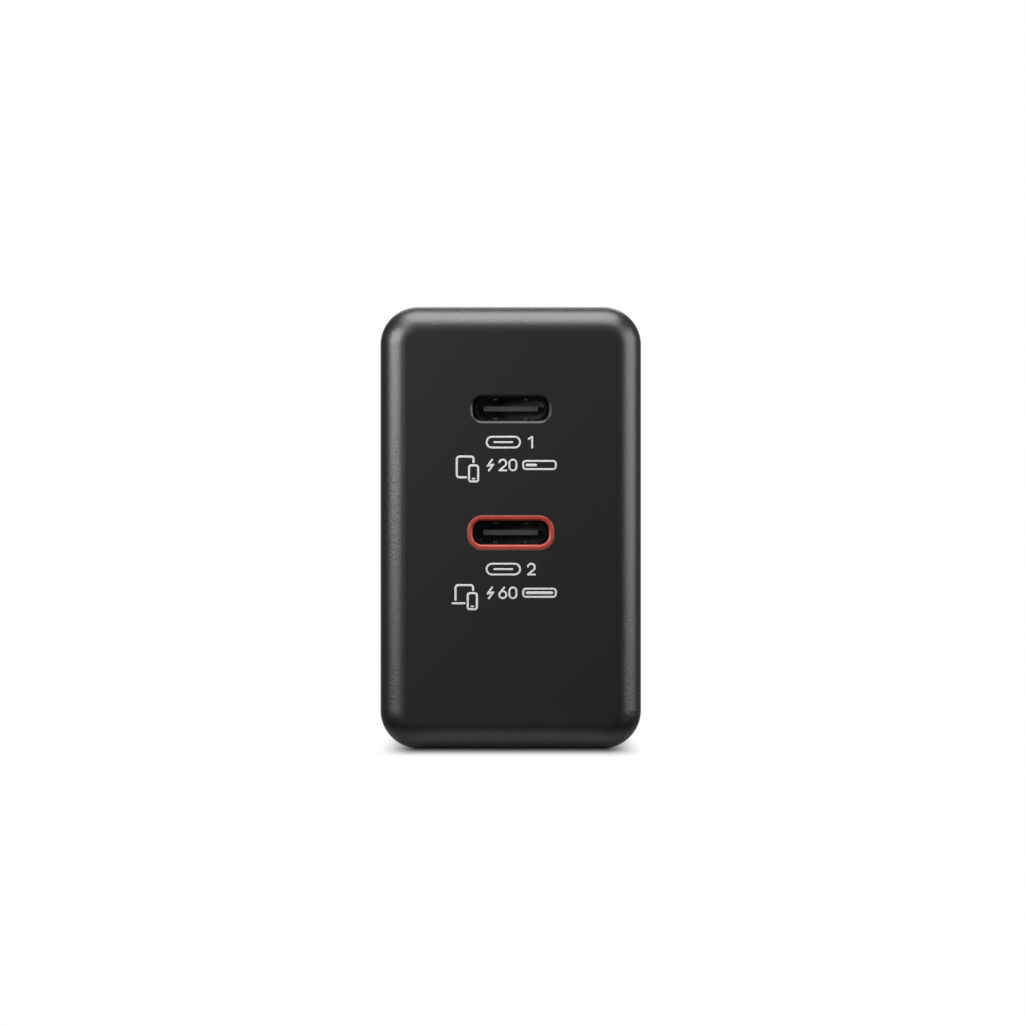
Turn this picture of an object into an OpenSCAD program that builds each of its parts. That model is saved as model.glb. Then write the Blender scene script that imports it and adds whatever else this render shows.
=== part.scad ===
/* [Case] */
// Width of the case, left to right
case_w = 32; // [31:0.5:38]
// Height of the case as it stands
case_h = 54.2; // [54:0.1:66]
// Depth of the case, front face to rear face
case_d = 40; // [39:0.5:52]
// Thickness of the side walls
wall = 2; // [1.6:0.1:2.2]
// Thickness of the front wall
front_wall = 2; // [1.8:0.1:2.6]
// Radius of the four long corners
corner_r = 4.65; // [4:0.05:6]
// Radius that rounds the front face into the sides
edge_r = 3.1; // [1:0.1:3.4]
// Radius that rounds the rear face into the sides
rear_edge_r = 1.2; // [0.6:0.1:1.6]
// Thickness of the rear cover's plate
cover_t = 3; // [2.4:0.1:3.6]
// Depth of the cover's tongue inside the case
tongue_depth = 2.4; // [1.6:0.1:3]
// Width and depth of the fine groove where case and cover meet
seam = 0.3; // [0.2:0.05:0.5]

/* [Ports] */
// Height of the upper port's centre
upper_port_z = 41.65; // [40:0.05:44]
// Height of the lower port's centre
lower_port_z = 26.5; // [24:0.1:28]
// Width of a port's opening in the face
mouth_w = 9.35; // [9.2:0.05:9.6]
// Height of a port's opening in the face
mouth_h = 2.95; // [2.9:0.05:3.2]
// Corner radius of a port's opening
mouth_r = 1.18; // [1:0.02:1.4]
// Depth of the lip, or the ring, in front of a socket
lip_depth = 0.8; // [0.6:0.05:1.2]
// Chamfer round the upper port's opening
lip_chamfer = 0.26; // [0.1:0.02:0.4]
// Width of the coloured ring's band
ring_band = 0.62; // [0.5:0.02:0.8]
// Chamfer on the inside of the coloured ring
ring_chamfer = 0.18; // [0.1:0.02:0.35]

/* [Sockets] */
// Inner width of a socket's steel shell
shell_w = 8.34; // [8.3:0.01:8.4]
// Inner height of a socket's steel shell
shell_h = 2.56; // [2.5:0.01:2.6]
// Thickness of the shell's sheet
shell_t = 0.3; // [0.2:0.02:0.34]
// Length of a shell, mouth to board
shell_l = 6.5; // [6:0.1:8]
// Width of the tongue inside a socket
tongue_w = 6.69; // [6.6:0.01:6.75]
// Thickness of the tongue inside a socket
tongue_t = 0.7; // [0.6:0.02:0.8]
// Distance of the tongue's tip behind the shell's mouth
tongue_set = 0.7; // [0.4:0.1:1.2]
// Chamfer above and below the tongue's tip
tongue_chamfer = 0.1; // [0.05:0.01:0.2]
// Length of the solid base behind the tongue
base_l = 1.6; // [1.2:0.1:2]
// Contacts on each face of the tongue
contact_count = 12; // [6:1:12]
// Spacing of the contacts
contact_pitch = 0.5; // [0.45:0.01:0.52]

/* [Prongs] */
// Width of a blade
blade_w = 6.35; // [6.2:0.05:6.5]
// Thickness of a blade
blade_t = 1.5; // [1.4:0.05:1.65]
// Length of a blade outside the case when it is turned out
blade_out = 16.5; // [15:0.1:18]
// Distance between the two blades
blade_pitch = 12.7; // [12.4:0.1:13]
// Radius of the hole near a blade's tip
blade_hole_r = 1.6; // [1.5:0.05:2]
// Distance of that hole from the rear face when the blade is turned out
blade_hole_out = 11.9; // [10.5:0.1:12.5]
// Width of the tang that holds a blade in the rotor
tang_w = 3.2; // [2.6:0.1:4]
// Height of the pivot that the prongs turn on
pivot_z = 17; // [15:0.5:18]
// Radius of the rotor
rotor_r = 3.9; // [3.7:0.1:4.2]
// Rotor material beyond each blade
rotor_cheek = 1.3; // [1:0.1:1.6]
// Radius of the rotor's journals
journal_r = 1.6; // [1.2:0.1:1.8]
// Length of the rotor's journals
journal_l = 1.5; // [1:0.1:1.7]
// Depth of the finger notch between the folded blades
notch_depth = 5; // [4.6:0.1:5.6]
// Length of the finger notch
notch_l = 9; // [8:0.1:10]

/* [Boards] */
// Thickness of both circuit boards
board_t = 1.2; // [1:0.1:1.6]
// Space between the main board and the case wall
board_gap = 1.6; // [1.5:0.1:2]
// Space left round the edge of each board
board_edge = 0.8; // [0.5:0.1:1.2]

/* [Transformer] */
// Height of the transformer's core
core_h = 20; // [16:0.5:20.5]
// Width of the core along the board
core_w = 16; // [15:0.5:17]
// Thickness of the core's plates and outer legs
core_t = 2.4; // [2:0.1:2.6]
// Radius of the core's middle leg
leg_r = 2.6; // [2:0.1:2.8]

/* [Components] */
// Number of bulk capacitors, which share the room under the transformer
bulk_count = 3; // [2:1:4]
// Height of a bulk capacitor
bulk_h = 20; // [14:0.5:22]
// Radius of an output capacitor
output_r = 3; // [2.5:0.1:3.1]
// Height of an output capacitor
output_h = 12; // [8:0.5:14]
// Outer radius of the choke
choke_r = 2.9; // [2.4:0.1:3]
// Height of the choke's core
choke_h = 6; // [4:0.5:8]
// Side of the two square inductors
inductor_w = 6; // [5:0.5:6.5]
// Height of the two square inductors
inductor_h = 3; // [2:0.1:3.2]
// Height of the X capacitor
x_cap_h = 11; // [8:0.5:14]
// Radius of the fuse
fuse_r = 1.7; // [1.4:0.1:1.9]
// Height of the fuse
fuse_h = 8; // [6:0.5:10]
// Radius of the Y capacitor's disc
y_cap_r = 2.8; // [2.2:0.1:3]
// Thickness of the Y capacitor's disc
y_cap_t = 2.4; // [1.8:0.1:3]
// Radius of the thermistor's disc
thermistor_r = 2.6; // [2:0.1:3]
// Thickness of the thermistor's disc
thermistor_t = 2; // [1.6:0.1:3]
// Length of the optocoupler
opto_l = 6.5; // [4:0.5:7]
// Width of the optocoupler
opto_w = 3.6; // [3:0.1:3.8]
// Height of the optocoupler
opto_h = 2; // [1.6:0.1:3]
// Length of the bridge rectifier
bridge_l = 8; // [6:0.5:9]
// Width of the bridge rectifier
bridge_w = 5; // [4:0.5:6]
// Side of the two switches, the controller and the port controller
chip_w = 5; // [4:0.5:6]
// Height of the chips behind the main board
chip_h = 1.1; // [0.8:0.1:1.3]
// Thickness of the heat spreader
spreader_t = 0.5; // [0.3:0.1:0.8]
// Thickness of the insulation sheet
sheet_t = 0.2; // [0.1:0.05:0.3]
// Radius of a mains lead over its insulation
lead_r = 0.7; // [0.5:0.05:0.9]

/* [Hidden] */
$fn = 64;
over = 1;           // how far a cut runs past the face it opens
running = 0.05;     // radial clearance of a journal in its bearing
slip = 0.05;        // clearance of pieces that push together
rotor_gap = 0.1;    // clearance round the rotor
blade_gap = 0.3;    // clearance round a folded blade
swing_gap = 0.8;    // clearance beyond the blades' tips, which rise as they turn

// The case, from its three faces inwards
front_y = -case_d / 2;
rear_y = case_d / 2;
seam_y = rear_y - cover_t;
mid_z = case_h / 2;
in_x = case_w / 2 - wall;
in_front_y = front_y + front_wall;
in_r = corner_r - wall;
tongue_wall = 1.2;
tongue_y = seam_y - tongue_depth;

// The sockets and the board that carries them
socket_gap = 0.2;
ring_w = mouth_w + 2 * ring_band;
ring_h = mouth_h + 2 * ring_band;
ring_r = mouth_r + ring_band;
shell_out_w = shell_w + 2 * shell_t;
shell_out_h = shell_h + 2 * shell_t;
shell_y = front_y + lip_depth + slip;
port_board_y = shell_y + shell_l;
port_board_back = port_board_y + board_t;
leg_inset = 1.6;
leg_x = shell_out_w / 2 - leg_inset;
leg_w = 0.8;
leg_l = 1.6;
bump_x = 1.9;
bump_r = 0.32;
bump_h = 0.22;
contact_w = 0.26;
contact_t = 0.06;
contact_tail = 1.5;

// The prongs, folded up into the rear cover
pivot_y = rear_y - rotor_r - rotor_gap;
blade_x = blade_pitch / 2;
blade_reach = rear_y - pivot_y + blade_out;
blade_root = rotor_r * 0.3;
blade_hole_z = rear_y - pivot_y + blade_hole_out;
tip_r = 1.8;
rotor_half = blade_x + blade_t / 2 + rotor_cheek;
pocket_half = rotor_half + rotor_gap;
ear_wall = 0.7;
housing_half = pocket_half + journal_l + rotor_gap + ear_wall;
slot_t = blade_t + 2 * 0.2;
slot_y = pivot_y - blade_w / 2 - blade_gap;
slot_top = pivot_z + blade_reach + swing_gap;
housing_floor = 1.2;
housing_y = slot_y - housing_floor;
housing_rim = 1.4;
housing_low = pivot_z - rotor_r - rotor_gap - housing_rim;
face_opening = 2.6;

// The retainer that closes the rotor's bearings
retainer_t = 2.4;
retainer_y = housing_y - retainer_t;
screw_rise = 3.4;
screw_z = rotor_r + screw_rise;
retainer_lap = 2.2;
retainer_reach = screw_z + retainer_lap;
screw_r = 0.75;
screw_hole_r = 0.9;
screw_head_r = 1.6;
screw_head_h = 1;
screw_bite = 4;
boss_r = 2.4;
finger_end = 0.9;
spring_t = 0.3;
spring_w = 3;
spring_reach = rotor_r - 0.4;
spring_y = pivot_y - rotor_r - running;
tail_w = 2;
tail_t = 0.4;
tail_out = 1.2;

// The boards, and where their parts stand
board_x = -in_x + board_gap;
board_face = board_x + board_t;
board_y0 = port_board_back + 0.25;
board_y1 = housing_y - 0.2;
board_z0 = wall + board_edge;
board_z1 = case_h - wall - board_edge;
post_inset = 4.5;
post_rise = 3.4;
post_x = in_x - post_inset;
post_r = 1.6;
pin_r = 0.6;
rib_w = 1.2;
rib_inset = 4;
row_gap = 0.4;
coil_t = 0.4;
front_row_y = port_board_back + 3 * row_gap + choke_r;
rear_row_y = housing_y - row_gap - opto_w / 2;
core_front = port_board_back + inductor_h + 2 * row_gap;
core_rear = rear_row_y - opto_w / 2 - row_gap;
core_y = (core_front + core_rear) / 2;
core_d = core_rear - core_front;
core_z = board_z1 - core_w / 2 - row_gap;
core_low = core_z - core_w / 2;
lead_y = retainer_y - lead_r - 2 * slip;
cap_front = front_row_y + choke_r + coil_t + row_gap;
cap_room_y = lead_y - lead_r - row_gap - cap_front;
cap_room_z = (core_low - board_z0) / bulk_count - row_gap;
bulk_r = min(cap_room_y, cap_room_z) / 2;
cap_row_y = cap_front + bulk_r;
thermistor_z = board_z1 - row_gap - thermistor_r;
opto_z = thermistor_z - thermistor_r - row_gap - opto_l / 2;
y_cap_z = opto_z - opto_l / 2 - row_gap - y_cap_r;
header_w = 2.4;
header_l = 10;
header_z = core_z;
pin_side = 0.6;
pin_pitch = 2;
pin_count = 4;
bobbin_t = 0.7;
bobbin_r = core_w / 2 - core_t - slip;
spool_r = leg_r + slip + bobbin_t;
window_h = core_h - 2 * core_t;
spreader_x = in_x - sheet_t - spreader_t;
sheet_low = wall + in_r;
sheet_top = case_h - wall - in_r;
sheet_margin = 0.5;

// A rectangle with round corners, centred
module round_rect(w, h, r) {
    square([w - 2 * r, h], center = true);
    square([w, h - 2 * r], center = true);
    for (sx = [-1, 1], sy = [-1, 1])
        translate([sx * (w / 2 - r), sy * (h / 2 - r)]) circle(r);
}

// The section of a block's edge: r deep, rounded by e at the far end
module edge_section(r, e, length) {
    square([r, length - e]);
    square([r - e, length]);
    translate([r - e, length - e]) intersection() {
        circle(e);
        square(e);
    }
}

// A border round a rectangle; its child is the section out from the corners' centres
module rim(w, h, r) {
    for (k = [0:3]) {
        a = (k % 2 == 0 ? w : h) / 2 - r;
        b = (k % 2 == 0 ? h : w) / 2 - r;
        rotate(90 * k) translate([a, b, 0]) {
            rotate([90, 0, 0]) linear_extrude(2 * b) children();
            rotate_extrude(angle = 90) children();
        }
    }
}

// A block with round corners r whose far face is rounded by e
module soft_block(w, h, r, e, length) {
    translate([r - w / 2, r - h / 2, 0]) cube([w - 2 * r, h - 2 * r, length]);
    rim(w, h, r) edge_section(r, e, length);
}

// A long shape with half-round ends; its child is the section out from the middle line
module pill(w, r) {
    a = w / 2 - r;
    translate([a, 0, 0]) rotate(-90) rotate_extrude(angle = 180) children();
    translate([-a, 0, 0]) rotate(90) rotate_extrude(angle = 180) children();
    translate([-a, 0, 0]) rotate([90, 0, 90]) linear_extrude(2 * a) {
        children();
        mirror([1, 0]) children();
    }
}

// Builds forwards from y, centred on height z
module forwards(y, z = mid_z) { translate([0, y, z]) rotate([90, 0, 0]) children(); }

// Builds backwards from y, centred on height z
module backwards(y, z = mid_z) { translate([0, y, z]) rotate([-90, 0, 0]) children(); }

// Stands a part on the main board: its own z runs away from the board
module on_board(y, z) { translate([board_face, y, z]) rotate([0, 90, 0]) children(); }

// Puts a part on the main board's other face, towards the case wall
module under_board(y, z) { translate([board_x, y, z]) rotate([0, -90, 0]) children(); }

// Puts a part on the rear of the port board
module on_port_board(x, z) { translate([x, port_board_back, z]) rotate([-90, 0, 0]) children(); }

// A cylinder that lies along x, from -half to half
module axle(r, half) { rotate([0, 90, 0]) translate([0, 0, -half]) cylinder(r = r, h = 2 * half); }

// Cuboid centred in x and y, standing on z = 0
module brick(size) { translate([-size[0] / 2, -size[1] / 2, 0]) cube(size); }

// Places its child at the four corners of the port board
module at_posts() {
    for (sx = [-1, 1], z = [wall + post_rise, case_h - wall - post_rise])
        translate([sx * post_x, 0, z]) children();
}

// Case

// Opening in the face and the pocket behind it for a socket
module socket_cut(z) {
    backwards(front_y - over, z) linear_extrude(front_wall + 2 * over)
        round_rect(mouth_w, mouth_h, mouth_r);
    pocket_r = shell_out_h / 2 + socket_gap;
    backwards(front_y + lip_depth, z)
        pill(shell_out_w + 2 * socket_gap, pocket_r) square([pocket_r, front_wall + over]);
}

module front_case() {
    color("#1b1b1d") difference() {
        forwards(seam_y) soft_block(case_w, case_h, corner_r, edge_r, seam_y - front_y);
        case_cavity();
        case_openings();
    }
    color("#1b1b1d") case_fittings();
}

// The hollow, and the fine groove round the case's open end
module case_cavity() {
    forwards(seam_y + over) linear_extrude(seam_y + over - in_front_y)
        round_rect(2 * in_x, case_h - 2 * wall, in_r);
    forwards(seam_y + over) linear_extrude(seam + over) difference() {
        round_rect(case_w + over, case_h + over, corner_r + over / 2);
        round_rect(case_w - 2 * seam, case_h - 2 * seam, corner_r - seam);
    }
}

// The two ports: a chamfered mouth above, a seat for the ring below
module case_openings() {
    socket_cut(upper_port_z);
    socket_cut(lower_port_z);
    r = mouth_r + lip_chamfer;
    backwards(front_y, upper_port_z) rim(mouth_w + 2 * lip_chamfer, mouth_h + 2 * lip_chamfer, r)
        polygon([[0, -over], [r, -over], [r, 0], [mouth_r, lip_chamfer], [0, lip_chamfer]]);
    backwards(front_y - over, lower_port_z) linear_extrude(lip_depth + over)
        round_rect(ring_w, ring_h, ring_r);
}

// Posts that carry the port board, and ribs that carry the main board
module case_fittings() {
    at_posts() {
        backwards(in_front_y, 0) cylinder(r = post_r, h = port_board_y - in_front_y);
        backwards(port_board_y, 0) cylinder(r = pin_r, h = board_t + 0.4);
    }
    for (y = [board_y0 + rib_inset, board_y1 - rib_inset - rib_w])
        translate([-in_x, y, board_z0]) cube([board_gap, rib_w, board_z1 - board_z0]);
}

module port_ring() {
    r = mouth_r;
    color("#c2493a") backwards(front_y, lower_port_z) rim(ring_w, ring_h, ring_r)
        polygon([[r + ring_chamfer, 0], [r + ring_band, 0], [r + ring_band, lip_depth],
                 [r, lip_depth], [r, ring_chamfer]]);
}

// Sockets

// Steel shell of a socket: the pill-shaped tube, its four dimples and its board legs
module usb_shell(z) {
    r = shell_h / 2;
    color("#2c2c2f") {
        backwards(shell_y, z) pill(shell_out_w, r + shell_t)
            translate([r, 0]) square([shell_t, shell_l]);
        for (sx = [-1, 1], sz = [-1, 1]) {
            translate([sx * bump_x, shell_y + 2 * bump_r, z + sz * (r + shell_t / 2)])
                rotate([sz > 0 ? 180 : 0, 0, 0]) cylinder(r = bump_r, h = shell_t / 2 + bump_h);
            translate([sx * leg_x - leg_w / 2, port_board_y - shell_t, z + sz * (r + shell_t / 2)])
                translate([0, 0, -shell_t / 2]) cube([leg_w, shell_t + leg_l, shell_t]);
        }
    }
}

// Insulator of a socket: the base that closes the shell, and the tongue
module usb_tongue(z) {
    r = shell_h / 2;
    color("#3d3d40") difference() {
        union() {
            backwards(port_board_y - base_l, z) pill(shell_w, r) square([r, base_l]);
            translate([-tongue_w / 2, shell_y + tongue_set, z]) rotate([90, 0, 90])
                linear_extrude(tongue_w) tongue_side();
        }
        contact_rows(z);
    }
}

// A tongue seen from the side, its chamfered tip at the origin
module tongue_side() {
    h = tongue_t / 2;
    l = shell_l - tongue_set;
    polygon([[0, tongue_chamfer - h], [tongue_chamfer, -h], [l, -h],
             [l, h], [tongue_chamfer, h], [0, h - tongue_chamfer]]);
}

// Two rows of contacts along the tongue, through the base and the port board
module contact_rows(z) {
    first = shell_y + tongue_set + 0.5;
    for (k = [0:contact_count - 1], sz = [-1, 1])
        translate([(k - (contact_count - 1) / 2) * contact_pitch - contact_w / 2, first,
                   z + sz * tongue_t / 2 - (sz > 0 ? contact_t : 0)])
            cube([contact_w, port_board_y + contact_tail - first, contact_t]);
}

module usb_contacts(z) { color("#c9a24a") contact_rows(z); }

module usb_shell_upper() { usb_shell(upper_port_z); }
module usb_shell_lower() { usb_shell(lower_port_z); }
module usb_tongue_upper() { usb_tongue(upper_port_z); }
module usb_tongue_lower() { usb_tongue(lower_port_z); }
module usb_contacts_upper() { usb_contacts(upper_port_z); }
module usb_contacts_lower() { usb_contacts(lower_port_z); }

// Rear cover and prongs

module rear_cover() {
    color("#1b1b1d") difference() {
        union() {
            backwards(seam_y) soft_block(case_w, case_h, corner_r, rear_edge_r, cover_t);
            cover_tongue();
            prong_housing();
        }
        rotor_pocket();
        blade_slots();
        finger_notch();
        at_screws() forwards(housing_y + screw_bite, 0) cylinder(r = screw_r, h = screw_bite + over);
    }
}

// The ring that pushes into the case
module cover_tongue() {
    w = 2 * (in_x - slip);
    h = case_h - 2 * (wall + slip);
    forwards(seam_y) linear_extrude(tongue_depth) difference() {
        round_rect(w, h, in_r - slip);
        round_rect(w - 2 * tongue_wall, h - 2 * tongue_wall, in_r - slip - tongue_wall);
    }
}

// The block inside the cover that holds the rotor and the folded blades
module prong_housing() {
    translate([-housing_half, housing_y, housing_low])
        cube([2 * housing_half, seam_y - housing_y, slot_top + housing_rim - housing_low]);
    translate([0, 0, pivot_z - screw_z]) backwards(housing_y, 0)
        cylinder(r = boss_r, h = seam_y - housing_y);
}

module at_screws() { for (s = [-1, 1]) translate([0, 0, pivot_z + s * screw_z]) children(); }

// Room for the rotor: round at the rear, open to the inside, with bearings at its ends
module rotor_pocket() {
    r = rotor_r + rotor_gap;
    bearing = journal_r + running;
    bearing_half = pocket_half + journal_l + rotor_gap;
    translate([0, pivot_y, pivot_z]) {
        axle(r, pocket_half);
        axle(bearing, bearing_half);
        translate([-pocket_half, -case_d, -r]) cube([2 * pocket_half, case_d, 2 * r]);
        translate([-pocket_half, 0, -face_opening]) cube([2 * pocket_half, case_d, 2 * face_opening]);
        translate([-bearing_half, -case_d, -bearing]) cube([2 * bearing_half, case_d, 2 * bearing]);
    }
}

// A slot for each folded blade, long enough below for the blade when it is turned out
module blade_slots() {
    low = blade_w / 2 + 0.2;
    for (s = [-1, 1]) translate([s * blade_x - slot_t / 2, 0, pivot_z]) {
        translate([0, slot_y, 0]) cube([slot_t, case_d, slot_top - pivot_z]);
        translate([0, pivot_y, -low]) cube([slot_t, case_d, low]);
    }
}

// The hollow that lets a finger hook the blades out
module finger_notch() {
    half = blade_x + slot_t / 2;
    translate([-half, rear_y - notch_depth, slot_top - notch_l]) cube([2 * half, case_d, notch_l]);
}

// Outline of a blade, folded up: a narrow tang in the rotor, then the full width to the tip
module blade_outline() {
    translate([-blade_w / 2, blade_root]) square([blade_w, blade_reach - blade_root - tip_r]);
    translate([tip_r - blade_w / 2, blade_reach - 2 * tip_r]) square([blade_w - 2 * tip_r, 2 * tip_r]);
    for (s = [-1, 1]) translate([s * (blade_w / 2 - tip_r), blade_reach - tip_r]) circle(tip_r);
    intersection() {
        translate([-tang_w / 2, -rotor_r]) square([tang_w, rotor_r + blade_root]);
        circle(rotor_r);
    }
}

module blade(side) {
    color("#c9cacc") translate([side * blade_x - blade_t / 2, pivot_y, pivot_z])
        rotate([90, 0, 90]) linear_extrude(blade_t) difference() {
            blade_outline();
            translate([0, blade_hole_z]) circle(blade_hole_r);
        }
}

module prong_left() { blade(-1); }
module prong_right() { blade(1); }

module prong_rotor() {
    color("#222224") difference() {
        translate([0, pivot_y, pivot_z]) {
            axle(rotor_r, rotor_half);
            axle(journal_r, rotor_half + rotor_gap + journal_l);
        }
        for (side = [-1, 1]) translate([side * blade_x - blade_t / 2, pivot_y, pivot_z])
            rotate([90, 0, 90]) linear_extrude(blade_t) {
                translate([-blade_w / 2, blade_root]) square([blade_w, rotor_r]);
                translate([-tang_w / 2, -2 * rotor_r]) square([tang_w, 2 * rotor_r + blade_root]);
            }
    }
}

// Plate behind the rotor; two fingers close its bearings
module prong_retainer() {
    finger_x = pocket_half + rotor_gap;
    finger_w = journal_l - rotor_gap;
    finger_h = 2 * (journal_r + running - slip);
    color("#2b2b2e") difference() {
        union() {
            translate([-housing_half, retainer_y, pivot_z - retainer_reach])
                cube([2 * housing_half, retainer_t, 2 * retainer_reach]);
            for (s = [-1, 1]) translate([s * (finger_x + finger_w / 2), housing_y, pivot_z])
                translate([-finger_w / 2, 0, -finger_h / 2])
                    cube([finger_w, pivot_y - finger_end - housing_y, finger_h]);
        }
        translate([0, pivot_y, pivot_z]) axle(journal_r + running, case_w / 2);
        at_screws() forwards(housing_y + over, 0) cylinder(r = screw_hole_r, h = retainer_t + 2 * over);
        for (side = [-1, 1]) spring_tail(side);
    }
}

module retainer_screws() {
    color("#b9babd") at_screws() difference() {
        union() {
            backwards(retainer_y, 0) cylinder(r = screw_r, h = retainer_t + screw_bite);
            forwards(retainer_y, 0) cylinder(r = screw_head_r, h = screw_head_h);
        }
        for (turn = [0, 90]) translate([0, retainer_y - screw_head_h, 0]) rotate([0, turn, 0])
            cube([2 * screw_r, screw_head_h, 0.4], center = true);
    }
}

// The part of a contact spring that runs through the retainer to its lead
module spring_tail(side) {
    translate([side * blade_x - tail_w / 2, retainer_y - tail_out, pivot_z - spring_reach])
        cube([tail_w, spring_y - retainer_y + tail_out, tail_t]);
}

// A leaf that meets the blade's tang when the prongs are turned out
module contact_spring(side) {
    color("#c58a3c") {
        translate([side * blade_x - spring_w / 2, spring_y - spring_t, pivot_z - spring_reach])
            cube([spring_w, spring_t, 2 * spring_reach]);
        spring_tail(side);
    }
}

module contact_spring_left() { contact_spring(-1); }
module contact_spring_right() { contact_spring(1); }

// Insulated lead: down from a spring's tail, round a bend, and across to the main board
module mains_lead(side) {
    bend = 3 * lead_r;
    x = side * blade_x;
    top = pivot_z - spring_reach;
    y = lead_y;
    drop = side < 0 ? lead_r : 6.5 * lead_r;
    color(side < 0 ? "#2a4fa0" : "#6b4428") {
        translate([x, y, top - drop]) cylinder(r = lead_r, h = drop);
        translate([x - bend, y, top - drop]) rotate([-90, 0, 0])
            rotate_extrude(angle = 90) translate([bend, 0]) circle(lead_r);
        translate([board_face, y, top - drop - bend]) rotate([0, 90, 0])
            cylinder(r = lead_r, h = x - bend - board_face);
    }
}

module mains_lead_left() { mains_lead(-1); }
module mains_lead_right() { mains_lead(1); }

// Boards

module port_board() {
    w = 2 * (in_x - board_edge);
    h = case_h - 2 * (wall + board_edge);
    color("#1d5a34") difference() {
        backwards(port_board_y) linear_extrude(board_t)
            round_rect(w, h, in_r);
        at_posts() backwards(port_board_y - over, 0) cylinder(r = pin_r + slip, h = board_t + 2 * over);
        for (z = [upper_port_z, lower_port_z]) {
            contact_rows(z);
            for (sx = [-1, 1], sz = [-1, 1])
                translate([sx * leg_x, port_board_y - over, z + sz * (shell_h + shell_t) / 2])
                    translate([-leg_w / 2 - slip, 0, -shell_t / 2 - slip])
                        cube([leg_w + 2 * slip, board_t + 2 * over, shell_t + 2 * slip]);
        }
        header_pins_solid();
    }
}

// The long board, notched round the prong retainer
module main_board() {
    notch_y = retainer_y - row_gap;
    notch_half = retainer_reach + row_gap;
    color("#1d5a34") difference() {
        translate([board_x, board_y0, board_z0])
            cube([board_t, board_y1 - board_y0, board_z1 - board_z0]);
        translate([board_x - over, notch_y, pivot_z - notch_half])
            cube([board_t + 2 * over, case_d, 2 * notch_half]);
    }
}

// Block that stands on the main board and lies against the port board
module board_header() {
    color("#202022") difference() {
        translate([board_face, port_board_back, header_z - header_l / 2])
            cube([header_w, header_w, header_l]);
        header_pins_solid();
    }
}

module header_pins_solid() {
    for (k = [0:pin_count - 1])
        translate([board_face + header_w / 2 - pin_side / 2, port_board_y - 0.5,
                   header_z + (k - (pin_count - 1) / 2) * pin_pitch - pin_side / 2])
            cube([pin_side, board_t + 0.5 + header_w * 0.75, pin_side]);
}

module header_pins() { color("#c9a24a") header_pins_solid(); }

// Transformer

module transformer_core() {
    color("#3a3b3d") on_board(core_y, core_z) {
        brick([core_w, core_d, core_t]);
        translate([0, 0, core_h - core_t]) brick([core_w, core_d, core_t]);
        for (s = [-1, 1]) translate([s * (core_w - core_t) / 2, 0, core_t])
            brick([core_t, core_d, window_h]);
        translate([0, 0, core_t]) cylinder(r = leg_r, h = window_h);
    }
}

module transformer_bobbin() {
    color("#c8b98c") on_board(core_y, core_z) translate([0, 0, core_t]) difference() {
        union() {
            cylinder(r = spool_r, h = window_h);
            cylinder(r = bobbin_r, h = bobbin_t);
            translate([0, 0, window_h - bobbin_t]) cylinder(r = bobbin_r, h = bobbin_t);
        }
        translate([0, 0, -over]) cylinder(r = leg_r + slip, h = window_h + 2 * over);
    }
}

module transformer_winding() {
    color("#d8b23a") on_board(core_y, core_z) translate([0, 0, core_t + bobbin_t]) difference() {
        cylinder(r = bobbin_r - 0.3, h = window_h - 2 * bobbin_t);
        translate([0, 0, -over]) cylinder(r = spool_r, h = window_h + 2 * over);
    }
}

// Parts on the main board

// A can capacitor on its rubber bung, with the crimp groove near its foot
module can(r, h) {
    rotate_extrude() polygon([[0, 0], [r - 0.3, 0], [r, 0.3], [r, 1.2], [r - 0.4, 1.6],
                              [r, 2], [r, h - 0.4], [r - 0.4, h], [0, h]]);
}

module bulk_capacitors() {
    step = 2 * bulk_r + row_gap;
    color("#1f3f7a") for (k = [0:bulk_count - 1])
        on_board(cap_row_y, core_low - row_gap - bulk_r - k * step) can(bulk_r, bulk_h);
}

module output_capacitors() {
    step = 2 * output_r + row_gap;
    color("#b8bcc2") for (k = [0:1])
        on_board(front_row_y, core_low - row_gap - output_r - k * step) can(output_r, output_h);
}

// Heights of the choke, the fuse and the X capacitor, under the output capacitors
choke_z = core_low - row_gap - 2 * (2 * output_r + row_gap) - choke_r;
fuse_z = choke_z - choke_r - row_gap - fuse_r;
x_cap_top = fuse_z - fuse_r - row_gap;
choke_bore = 1.3;

module choke_core() {
    color("#2e6b4a") on_board(front_row_y, choke_z) translate([0, 0, coil_t]) difference() {
        cylinder(r = choke_r - coil_t, h = choke_h);
        translate([0, 0, -over]) cylinder(r = choke_bore, h = choke_h + 2 * over);
    }
}

// Two coils wrapped round the ring, one on each side
module choke_winding() {
    inner = choke_bore;
    ring = choke_r - coil_t - inner;
    color("#b5652d") on_board(front_row_y, choke_z) for (turn = [25, 205]) rotate(turn)
        rotate_extrude(angle = 130) difference() {
            translate([inner - coil_t, 0]) square([ring + 2 * coil_t, choke_h + 2 * coil_t]);
            translate([inner, coil_t]) square([ring, choke_h]);
        }
}

module x_capacitor() {
    l = x_cap_top - board_z0 - row_gap;
    color("#c9a227") on_board(front_row_y, x_cap_top - l / 2) brick([l, 2 * choke_r, x_cap_h]);
}

// A disc of radius r and thickness t that stands on two wire legs
module disc_part(r, t) {
    leg = 0.3;
    rise = r + 1;
    translate([0, t / 2, rise]) rotate([90, 0, 0]) cylinder(r = r, h = t);
    for (s = [-1, 1]) translate([s * 0.55 * r, 0, 0]) cylinder(r = leg, h = rise);
}

module y_capacitor() { color("#3c6fb0") on_board(rear_row_y, y_cap_z) disc_part(y_cap_r, y_cap_t); }
module fuse() { color("#8a4a2c") on_board(front_row_y, fuse_z) can(fuse_r, fuse_h); }
module optocoupler() { color("#f0efe9") on_board(rear_row_y, opto_z) brick([opto_l, opto_w, opto_h]); }

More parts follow.
